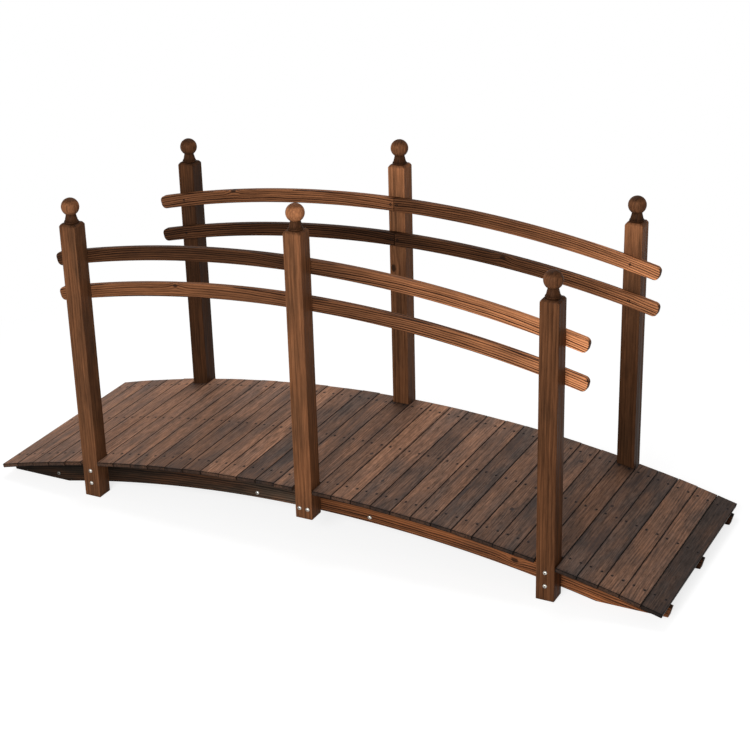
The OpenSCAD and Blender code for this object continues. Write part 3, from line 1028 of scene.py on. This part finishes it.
@dataclass
class Stringers:
    """The three arched stringers, each in two halves, with the cleats that join them."""

    layout: Layout
    wood: Material
    joint: float = 0.001
    arris: float = 0.0015
    arc_steps: int = 28
    run_out: float = 0.12
    cleat_length: float = 0.440
    cleat_depth: float = 0.048
    cleat_lift: float = 0.004
    cleat_tone: Triple = (0.5, 0.5, 1.0)
    pith_across: Span = (0.10, 0.16)
    cleat_pith_across: Span = (0.08, 0.14)
    pith_through: Span = (-0.02, 0.02)
    draw: random.Random = field(default_factory=lambda: random.Random(23))

    def build(self) -> None:
        """Makes the six halves, from front to back with the left ones first, and the three cleats."""
        woods = [
            (CHARRED, (0.44, 2.6, 5.0), NO_KNOT),
            (MIDDLE, (0.24, 0.94, 0.5), (0.09, -0.014, 0.007)),
            (DUSK, (0.45, 0.60, 1.0), NO_KNOT),
            (MAUVE, (0.55, 0.40, 1.0), NO_KNOT),
            (MIDDLE, (0.40, 0.52, 1.0), NO_KNOT),
            (DUSK, (0.58, 0.42, 1.0), NO_KNOT),
        ]
        for (side, end), wood in zip(product(Side, ENDS), woods):
            self.half(side, end, wood)
        for side in Side:
            self.cleat(side)

    def half(self, side: Side, end: Place, wood: Wood) -> None:
        """Saws one half of a stringer and cuts its underside flat on the ground.

        Args:
            side: The side of the bridge.
            end: The end of the bridge.
            wood: Its stain, its lift from left to right and its knot.
        """
        layout = self.layout
        low, high, thickness = layout.low_radius, layout.arch_radius, layout.stringer_thickness
        angles = sorted((end * self.joint / 2 / high, end * layout.tip_angle))
        bar = arc_bar((low, high), thickness, angles, self.arc_steps)
        shift(bar, z=layout.arch_centre)
        everything = bar.verts[:] + bar.edges[:] + bar.faces[:]
        ground = {"plane_co": (0, 0, 0), "plane_no": (0, 0, 1)}
        bmesh.ops.bisect_plane(bar, geom=everything, clear_inner=True, dist=SAME_SPOT, **ground)
        bmesh.ops.holes_fill(bar, edges=[edge for edge in bar.edges if edge.is_boundary], sides=0)
        bmesh.ops.recalc_face_normals(bar, faces=bar.faces)
        ease(bar, long_edges(bar), self.arris, FINE_STEPS)
        shade(bar)
        size = (layout.tip_x / 2, layout.stringer_depth / 2, thickness / 2)
        plank = Plank(size, draw_pith(self.draw, self.pith_across, self.pith_through), *wood)
        plank.mark(bar, self.unbend((low + high) / 2, end * size[0]))
        place = Matrix.Translation((0, layout.plank_y(side, thickness), 0))
        add_plank(node_name(side, end, "stringer"), bar, place, self.wood, "stringer_wood")

    def unbend(self, radius: float, middle_x: float) -> Unbend:
        """Makes the mapping from a point of an arched plank to its place in the plank.

        Args:
            radius: The plank's middle line.
            middle_x: Where the plank's middle lies along the bridge.

        Returns:
            The mapping, in which the grain is straighter than the arch.
        """
        centre = self.layout.arch_centre

        def place(co: Vector) -> Vector:
            """Gives a point's place in the plank.

            Args:
                co: The point.

            Returns:
                Its place along, across and through the plank.
            """
            bent = math.hypot(co.x, co.z - centre) - radius
            fall = (co.x**2 - middle_x**2) / (2 * radius)
            return Vector((co.x - middle_x, bent - self.run_out * fall, co.y))

        return place

    def cleat(self, side: Side) -> None:
        """Saws the cleat that joins the two halves of a stringer.

        Args:
            side: The side of the bridge.
        """
        layout, draw = self.layout, self.draw
        depth, thickness = self.cleat_depth, layout.cleat_thickness
        low = layout.low_radius + self.cleat_lift
        reach = math.asin(self.cleat_length / 2 / (low + depth))
        bar = arc_bar((low, low + depth), thickness, [-reach, reach], self.arc_steps // 2)
        shift(bar, z=layout.arch_centre)
        ease(bar, long_edges(bar), self.arris, FINE_STEPS)
        shade(bar)
        pith = tuple(draw.uniform(*s) for s in (PITH_STARTS, self.cleat_pith_across, self.pith_through))
        plank = Plank((self.cleat_length / 2, depth / 2, thickness / 2), pith, DUSK, self.cleat_tone)
        plank.mark(bar, self.unbend(low + depth / 2, 0.0))
        y = side * (layout.post_in - layout.stringer_thickness - thickness / 2)
        if side is Side.CENTRE:
            y = (layout.stringer_thickness + thickness) / 2
        node = node_name(side, "splice_cleat")
        add_plank(node, bar, Matrix.Translation((0, y, 0)), self.wood, "stringer_wood")


@dataclass
class Rails:
    """The four curved rails, each in two halves, with the screws that hold them to the posts."""

    layout: Layout
    wood: Material
    steel: Material
    height: float = 0.674
    pitch: float = 0.109
    radius: float = 3.456
    depth: float = 0.040
    thickness: float = 0.020
    tail: float = 0.06075
    round_end: float = 0.015
    round_steps: int = 8
    joint: float = 0.001
    arris: float = 0.0022
    arc_steps: int = 24
    run_out: float = 0.3
    pith_across: Span = (0.07, 0.10)
    pith_through: Span = (0.035, 0.06)
    screw_steps: int = 16
    joint_screw_in: float = 0.010
    end_slack: float = 1e-5
    draw: random.Random = field(default_factory=lambda: random.Random(31))

    def __post_init__(self) -> None:
        """Works out the middle line's radius, a half's outer angle and half its length."""
        self.middle = self.radius - self.depth / 2
        end_x = self.layout.post_x + self.layout.post_width / 2 + self.tail
        straight = math.asin((end_x - self.round_end) / self.middle)
        self.outer = straight + self.round_end / self.middle
        self.half_length = (self.middle * straight + self.round_end) / 2

    def centre_z(self, level: Level) -> float:
        """Height of a rail's centre, which lies below the ground."""
        top = self.layout.crown + self.layout.board_thickness + self.height
        return top - level * self.pitch - self.radius

    def build(self) -> None:
        """Makes the eight halves, front and upper and left ones first, and their screws."""
        woods = [
            (MIDDLE, (0.22, 0.17, 1.0), NO_KNOT),
            (WARM, (0.28, 1.54, 1.6), NO_KNOT),
            (WARM, (0.43, 0.37, 1.0), (0.0, 0.006, 0.005)),
            (WARM, (0.34, 1.50, 2.8), NO_KNOT),
            (WARM, (0.40, 0.52, 1.0), (-0.137, 0.012, 0.006)),
            (WARM, (0.31, 1.60, 2.8), NO_KNOT),
            (MIDDLE, (0.24, 0.15, 1.0), NO_KNOT),
            (MIDDLE, (0.21, 1.50, 3.4), (-0.066, 0.004, 0.006)),
        ]
        screws = Piece("rail_screws")
        for (side, level, end), wood in zip(product(SIDES, Level, ENDS), woods):
            self.half(side, level, end, wood)
            self.drive_screws(screws, side, level, end)
        screws.finish(self.steel, "plated_steel")

    def half(self, side: Side, level: Level, end: Place, wood: Wood) -> None:
        """Saws one half of a rail and rounds its outer end.

        Args:
            side: The side of the bridge.
            level: The upper or the lower rail.
            end: The end of the bridge.
            wood: Its stain, its lift from left to right and its knot.
        """
        draw, middle, span = self.draw, self.middle, self.half_length
        angles = sorted((end * self.joint / 2 / self.radius, end * self.outer))
        bar = arc_bar((self.radius - self.depth, self.radius), self.thickness, angles, self.arc_steps)
        ease(bar, self.end_corners(bar), self.round_end, self.round_steps)
        bar.normal_update()
        ease(bar, long_edges(bar), self.arris, ROUND_STEPS)
        shade(bar)

        def unbend(co: Vector) -> Vector:
            """Gives a point's place in the plank, whose grain is straighter than the rail.

            Args:
                co: The point.

            Returns:
                Its place along, across and through the plank.
            """
            along = math.atan2(co.x, co.z) * middle - end * span
            bent = math.hypot(co.x, co.z) - middle
            return Vector((along, bent + self.run_out * (along**2 - span**2) / (2 * middle), co.y))

        turn, start = draw.choice((-1, 1)), draw.uniform(*PITH_STARTS)
        pith = (start, turn * draw.uniform(*self.pith_across), draw.uniform(*self.pith_through))
        Plank((span, self.depth / 2, self.thickness / 2), pith, *wood).mark(bar, unbend)
        place = Matrix.Translation((0, self.layout.plank_y(side, self.thickness), self.centre_z(level)))
        add_plank(node_name(side, level, end, "rail"), bar, place, self.wood, "rail_wood")

    def end_corners(self, bar: BMesh) -> list[BMEdge]:
        """Finds the two corners of a rail's outer end that run through its thickness.

        Args:
            bar: The rail, round the origin.

        Returns:
            The two edges.
        """

        def at_end(vert: BMVert) -> bool:
            """Tells whether a point lies on the outer end."""
            return abs(abs(math.atan2(vert.co.x, vert.co.z)) - self.outer) < self.end_slack

        ends = [edge for edge in bar.edges if all(at_end(vert) for vert in edge.verts)]
        return [edge for edge in ends if abs(edge.verts[0].co.y - edge.verts[1].co.y) > self.thickness / 2]

    def drive_screws(self, screws: Piece, side: Side, level: Level, end: Place) -> None:
        """Drives a half rail's screws into the middle and the end post from inside.

        Args:
            screws: The piece that the screws go into.
            side: The side of the bridge.
            level: The upper or the lower rail.
            end: The end of the bridge.
        """
        y = side * (self.layout.post_in - self.thickness)
        for x in (end * self.joint_screw_in, end * self.layout.post_x):
            z = self.centre_z(level) + math.sqrt(self.middle**2 - x**2)
            screw = turned(SCREW_OUTLINE, self.screw_steps)
            shade(screw)
            screws.lay(screw, Matrix.Translation((x, y, z)) @ Matrix.Rotation(side * math.pi / 2, 4, "X"))


@dataclass
class Posts:
    """The six square posts with bevelled tops and turned ball finials."""

    layout: Layout
    rails: Rails
    wood: Material
    turned_wood: Material
    above_rail: float = 0.0875
    bevel_height: float = 0.007
    bevel_in: float = 0.005
    arris: float = 0.002
    middle_drop: float = 0.007
    ball_radius: float = 0.0263
    ball_height: float = 0.0472
    ball_seat: float = 4.0
    ball_points: int = 22
    neck_radius: float = 0.0148
    neck_height: float = 0.0245
    neck_reach: float = 0.0025
    neck_flare: Span = (0.0004, 0.0007)
    collar_radius: float = 0.0215
    collar_height: float = 0.006
    collar_turn: Span = (-90.0, 78.0)
    collar_points: int = 7
    neck_tone: Triple = (0.22, 0.34, 1.0)
    ball_tone: Span = (0.66, 0.94)
    turn_steps: int = 48
    post_pith: tuple[Span, Span] = ((0.03, 0.07), (-0.06, 0.06))
    finial_pith: tuple[Span, Span] = ((0.04, 0.07), (-0.03, 0.03))
    draw: random.Random = field(default_factory=lambda: random.Random(47))

    def build(self) -> None:
        """Makes each post and the finial on it, at the front and then the back, from left to right."""
        woods = [
            (MIDDLE, (0.58, 0.62, 1.0), NO_KNOT),
            (WARM, (0.56, 0.72, 1.0), NO_KNOT),
            (UMBER, (0.54, 0.55, 1.0), NO_KNOT),
            (MIDDLE, (0.24, 0.31, 1.0), NO_KNOT),
            (MIDDLE, (0.54, 1.18, 1.9), (0.11, -0.014, 0.008)),
            (MIDDLE, (0.26, 1.02, 3.0), NO_KNOT),
        ]
        ball_lifts = (0.98, 1.55, 0.62, 0.45, 0.75, 0.72)
        for (side, place), wood, ball_lift in zip(product(SIDES, Place), woods, ball_lifts):
            self.post(side, place, wood)
            self.finial(side, place, ball_lift)

    def foot(self, place: Place) -> float:
        """Height of a post's foot."""
        middle = self.layout.stringer_z(self.layout.low_radius, 0.0) - self.middle_drop
        return middle if place is Place.MIDDLE else 0.0

    def top(self, place: Place) -> float:
        """Height of a post's flat top."""
        rail_top = math.sqrt(self.rails.radius**2 - (place * self.layout.post_x) ** 2)
        return self.rails.centre_z(Level.UPPER) + rail_top + self.above_rail + self.bevel_height

    def stand(self, side: Side, place: Place, z: float) -> Matrix:
        """Gives the place on a post's axis at a height."""
        return Matrix.Translation((place * self.layout.post_x, side * self.layout.post_y, z))

    def post(self, side: Side, place: Place, wood: Wood) -> None:
        """Saws one post and bevels its top.

        Args:
            side: The side of the bridge.
            place: Its place along the bridge.
            wood: Its stain, its lift from the foot to the top and its knot.
        """
        width = self.layout.post_width
        foot, top = self.foot(place), self.top(place)
        shoulder = top - self.bevel_height - foot
        shape = block(width, width, shoulder)
        shift(shape, z=shoulder / 2)
        shape.normal_update()
        cap = [face for face in shape.faces if face.normal.z > SQUARE_ON]
        raised = bmesh.ops.extrude_face_region(shape, geom=cap)["geom"]
        rim = [item for item in raised if isinstance(item, BMVert)]
        narrow = 1 - 2 * self.bevel_in / width
        bmesh.ops.scale(shape, verts=rim, vec=(narrow, narrow, 1.0))
        bmesh.ops.translate(shape, verts=rim, vec=(0, 0, self.bevel_height))
        bmesh.ops.delete(shape, geom=[face for face in cap if face.is_valid], context="FACES_ONLY")
        bmesh.ops.recalc_face_normals(shape, faces=shape.faces)
        ease(shape, shape.edges[:], self.arris, ROUND_STEPS)
        shade(shape)
        middle = (top - foot) / 2
        plank = Plank((middle, width / 2, width / 2), draw_pith(self.draw, *self.post_pith), *wood)
        plank.mark(shape, lambda co: Vector((co.z - middle, co.x, co.y)))
        node = node_name(side, place, "post")
        add_plank(node, shape, self.stand(side, place, foot), self.wood, "post_wood")

    def finial(self, side: Side, place: Place, ball_lift: float) -> None:
        """Turns one finial.

        Args:
            side: The side of the bridge.
            place: Its place along the bridge.
            ball_lift: The ball's lift.
        """
        half = (self.ball_height + self.ball_radius) / 2
        size = (half, self.ball_radius, self.ball_radius)
        pith = draw_pith(self.draw, *self.finial_pith)
        ball_tone = (*(ball_lift * tone for tone in self.ball_tone), 1.0)
        node = node_name(side, place, "finial")
        piece = Piece(f"{node}_wood")
        for outline, tone in zip(self.finial_outlines(), (self.neck_tone, ball_tone)):
            shape = turned(outline, self.turn_steps)
            for face in shape.faces:
                face.smooth = True
            Plank(size, pith, WARM, tone).mark(shape, lambda co: Vector((co.z - half, co.x, co.y)))
            piece.lay(shape, self.stand(side, place, self.top(place)))
        bmesh.ops.remove_doubles(piece.shape, verts=piece.shape.verts, dist=SAME_SPOT)
        piece.finish(self.turned_wood, "post_wood", node)

    def finial_outlines(self) -> tuple[Profile, Profile]:
        """Gives the half outlines of a finial's two parts, which meet below the ball.

        Returns:
            Distances from the axis and heights: the collar with its flared neck, and the ball.
        """
        edge = self.collar_height / 2
        collar = rounding(edge, (self.collar_radius - edge, edge), self.collar_turn, self.collar_points)
        low = -math.degrees(math.acos(self.neck_radius / self.ball_radius)) + self.ball_seat
        ball = rounding(self.ball_radius, (0.0, self.ball_height), (low, 90.0), self.ball_points)
        ball[-1] = (0.0, ball[-1][1])
        flares = (self.neck_flare[0], 0.0, self.neck_flare[1])
        low_neck, high_neck = self.neck_height - self.neck_reach, self.neck_height + self.neck_reach
        heights = spread(low_neck, high_neck, len(flares))
        neck = [(self.neck_radius + flare, height) for flare, height in zip(flares, heights)]
        return [(0.0, 0.0), *collar, *neck, ball[0]], ball


@dataclass
class Bolts:
    """The plated bolts with domed heads, hexagon sockets and nuts; the tip bolts take a darker copy of the
    steel as painted shade.
    """

    layout: Layout
    steel: Material
    painted_shade: Material
    shank_radius: float = 0.003
    head_radius: float = 0.0065
    head_height: float = 0.0045
    head_points: int = 7
    head_steps: int = 24
    shank_steps: int = 16
    socket_radius: float = 0.0023
    socket_depth: float = 0.0022
    socket_lip: float = 1.25
    nut_radius: float = 0.00577
    nut_height: float = 0.005
    nut_arris: float = 0.0005
    thread_end: float = 0.003
    end_pitch: float = 0.041
    middle_pitch: float = 0.026
    middle_up: float = 0.025
    splice_x: float = 0.184
    splice_up: float = 0.016
    tip_in: float = 0.174
    tip_up: float = 0.020

    def build(self) -> None:
        """Makes the four sets of bolts."""
        layout = self.layout
        plank, low = layout.stringer_thickness, layout.low_radius
        end_z = layout.stringer_z(layout.arch_radius - layout.stringer_depth / 2, layout.post_x)
        middle = (self.middle_pitch / 2, layout.stringer_z(low, 0.0) + self.middle_up)
        splice = (self.splice_x, layout.stringer_z(low, self.splice_x) + self.splice_up)
        tip = (layout.tip_x - self.tip_in, self.tip_up)
        through_post = layout.post_width + plank
        through_joint = plank + layout.cleat_thickness
        for side in SIDES:
            piece = Piece(node_name(side, "post_bolts_steel"))
            for end in ENDS:
                for z in (end_z - self.end_pitch / 2, end_z + self.end_pitch / 2):
                    self.fit(piece, side, layout.post_out, (end * layout.post_x, z), through_post)
                grip = through_post + layout.cleat_thickness
                self.fit(piece, side, layout.post_out, (end * middle[0], middle[1]), grip)
            piece.finish(self.steel, "plated_steel", node_name(side, "post_bolts"))
        piece = Piece("splice_bolts_steel")
        for end in ENDS:
            for side in SIDES:
                self.fit(piece, side, layout.post_in, (end * splice[0], splice[1]), through_joint)
            for x, z in (middle, splice):
                self.fit(piece, Side.FRONT, plank / 2, (end * x, z), through_joint)
        piece.finish(self.steel, "plated_steel", "splice_bolts")
        piece = Piece("tip_bolts_steel")
        self.fit(piece, Side.FRONT, layout.post_in, (-tip[0], tip[1]), plank)
        self.fit(piece, Side.BACK, layout.post_in, tip, plank)
        # The tip bolts take the darker copy of the steel: painted shade.
        piece.finish(self.painted_shade, "plated_steel", "tip_bolts")

    def fit(self, piece: Piece, side: Side, seat: float, spot: Span, grip: float) -> None:
        """Fits one bolt with its head on the outside.

        Args:
            piece: The set that it belongs to.
            side: The side that its head looks to.
            seat: The head's distance from the middle.
            spot: Its place along the bridge and its height.
            grip: The thickness that it holds.
        """
        turn = Matrix.Rotation(side * -math.pi / 2, 4, "X")
        place = Matrix.Translation((spot[0], side * seat, spot[1])) @ turn
        for part in (self.head(), self.nut(grip)):
            shade(part)
            piece.lay(part, place)

    def head(self) -> BMesh:
        """Shapes a domed head with a hexagon socket.

        Returns:
            The head, seated on the origin and rising along Z.
        """
        dome = (self.head_radius**2 + self.head_height**2) / (2 * self.head_height)
        rim_angle = math.acos((dome - self.head_height) / dome)
        angles = spread(rim_angle, self.socket_lip * self.socket_radius / dome, self.head_points)
        curve = [(dome * math.sin(a), dome * math.cos(a) - dome + self.head_height) for a in angles]
        work = turned([(0.0, 0.0), (self.head_radius, 0.0), *curve], self.head_steps)
        rim = [edge for edge in work.edges if edge.is_boundary]
        corners = bmesh.ops.create_circle(work, segments=HEXAGON, radius=self.socket_radius)["verts"]
        bmesh.ops.translate(work, verts=corners, vec=(0, 0, curve[-1][1]))
        hexagon = [edge for edge in work.edges if edge.verts[0] in corners]
        bmesh.ops.bridge_loops(work, edges=rim + hexagon)
        sunk = bmesh.ops.extrude_edge_only(work, edges=hexagon)["geom"]
        floor = [item for item in sunk if isinstance(item, BMVert)]
        bmesh.ops.translate(work, verts=floor, vec=(0, 0, -self.socket_depth))
        bmesh.ops.contextual_create(work, geom=[item for item in sunk if isinstance(item, BMEdge)])
        return work

    def nut(self, grip: float) -> BMesh:
        """Shapes the shank, the hexagon nut and the thread's end.

        Args:
            grip: The thickness between the head and the nut.

        Returns:
            The shape, running down from the origin.
        """
        work = bmesh.new()
        self.rod(work, self.shank_steps, self.shank_radius, (0.0, grip + self.nut_height + self.thread_end))
        nut = self.rod(work, HEXAGON, self.nut_radius, (grip, grip + self.nut_height))
        ease(work, [edge for edge in work.edges if edge.verts[0] in nut], self.nut_arris, FINE_STEPS)
        return work

    def rod(self, work: BMesh, sides: int, radius: float, depths: Span) -> list[BMVert]:
        """Adds an upright prism.

        Args:
            work: The shape that it goes into.
            sides: Its number of sides.
            radius: Its corners' distance from the axis.
            depths: How deep below the origin it starts and ends.

        Returns:
            Its points.
        """
        size = {"radius1": radius, "radius2": radius, "depth": depths[1] - depths[0]}
        points = bmesh.ops.create_cone(work, segments=sides, cap_ends=True, **size)["verts"]
        bmesh.ops.translate(work, verts=points, vec=(0, 0, -sum(depths) / 2))
        return points


@dataclass(frozen=True)
class Panel:
    """One square light: its name, where it hangs, its side and its power in watts."""

    name: str
    spot: Triple
    size: float
    power: float

    def hang(self, target: Triple) -> None:
        """Hangs the light so that it looks at a target.

        Args:
            target: Where it looks.
        """
        data = bpy.data.lights.new(self.name, "AREA")
        data.size = self.size
        data.energy = self.power
        made = bpy.data.objects.new(self.name, data)
        made.location = self.spot
        aim = Vector(target) - Vector(self.spot)
        made.rotation_euler = aim.to_track_quat("-Z", "Y").to_euler()
        bpy.context.scene.collection.objects.link(made)


@dataclass
class Studio:
    """The camera, the plain floor and the soft light."""

    camera_spot: Triple = (2.28573, -4.28203, 2.55303)
    camera_turn: Triple = (66.0127, 1.4156, 26.8065)
    lens: float = 86.666
    sensor: float = 36.0
    floor_reach: float = 30.0
    floor_drop: float = 0.0005
    floor_bounce: Colour = (0.60, 0.60, 0.60, 1.0)
    floor_grey: Colour = (0.36, 0.36, 0.36, 1.0)
    floor_glow: float = 0.78
    white_from: Span = (1.2, 2.0)
    sky: float = 0.25
    key: Panel = Panel("key_panel", (0.7, -6.3, 3.1), 2.8, 345.0)
    top: Panel = Panel("top_panel", (-0.8, 1.6, 4.5), 2.2, 78.0)
    target: Triple = (0.0, 0.0, 0.45)

    def build(self) -> None:
        """Sets up everything round the bridge."""
        self.camera()
        self.floor()
        self.light()

    def camera(self) -> None:
        """Puts the camera at the photograph's place."""
        data = bpy.data.cameras.new("camera")
        data.lens = self.lens
        data.sensor_width = self.sensor
        made = bpy.data.objects.new("camera", data)
        made.location = self.camera_spot
        made.rotation_euler = [math.radians(angle) for angle in self.camera_turn]
        bpy.context.scene.collection.objects.link(made)
        bpy.context.scene.camera = made

    def seen(self, g: Graph) -> Wire:
        """Tells what the camera sees straight, in metal or through glass from the light itself.

        Args:
            g: The graph that asks.

        Returns:
            1 for what is seen, 0 for the light.
        """
        kinds = ("Camera", "Glossy", "Transmission")
        straight, shiny, through = (g.get("ShaderNodeLightPath", {}, f"Is {kind} Ray") for kind in kinds)
        return g.math("MAXIMUM", g.math("MAXIMUM", straight, shiny), through)

    def floor(self) -> None:
        """Lays a white floor that keeps a pale shadow."""
        shape = bmesh.new()
        bmesh.ops.create_grid(shape, x_segments=1, y_segments=1, size=self.floor_reach)
        shift(shape, z=-self.floor_drop)
        mesh = bpy.data.meshes.new("floor")
        shape.to_mesh(mesh)
        shape.free()
        material, g = start_material("floor_white")
        g.tree.nodes.remove(g.tree.nodes["Principled BSDF"])
        seen = self.seen(g)
        spot = g.get("ShaderNodeTexCoord", {}, "Object")
        far = g.get("ShaderNodeVectorMath", {0: spot}, "Value", operation="LENGTH")
        beyond = seen * g.ramp(far, *self.white_from)
        grey = g.blend(seen, self.floor_bounce, self.floor_grey)
        matt = g.get("ShaderNodeBsdfDiffuse", {"Color": g.blend(beyond, grey, BLACK)})
        shine = seen * self.floor_glow + beyond * (1 - self.floor_glow)
        glow = g.get("ShaderNodeEmission", {"Color": WHITE, "Strength": shine})
        both = g.get("ShaderNodeAddShader", {0: matt, 1: glow})
        g.put(g.tree.nodes["Material Output"].inputs["Surface"], both)
        mesh.materials.append(material)
        made = bpy.data.objects.new("floor", mesh)
        bpy.context.scene.collection.objects.link(made)

    def light(self) -> None:
        """Lights the bridge softly from the front and from above, with an even sky."""
        scene = bpy.context.scene
        scene.view_settings.view_transform = "Standard"
        world = bpy.data.worlds.new("studio")
        scene.world = world
        world.use_nodes = True
        g = Graph(world.node_tree)
        sky = world.node_tree.nodes["Background"]
        g.put(sky.inputs["Color"], WHITE)
        g.put(sky.inputs["Strength"], self.sky + self.seen(g) * (1.0 - self.sky))
        self.key.hang(self.target)
        self.top.hang(self.target)


def main() -> None:
    """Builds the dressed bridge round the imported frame."""
    logging.basicConfig(level=logging.INFO, format="%(name)s %(message)s")
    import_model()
    patterns = WoodPatterns()
    layout = Layout()
    plated = PLATED_STEEL.material()
    dull = NAIL_STEEL.material()
    Studio().build()
    Deck(layout, DECK_FINISH.material(patterns), dull).build()
    Stringers(layout, STRINGER_FINISH.material(patterns)).build()
    rails = Rails(layout, RAIL_FINISH.material(patterns), dull)
    rails.build()
    Posts(layout, rails, POST_FINISH.material(patterns), FINIAL_FINISH.material(patterns)).build()
    Bolts(layout, plated, PAINTED_SHADE_STEEL.material()).build()


if __name__ == "__main__":
    main()
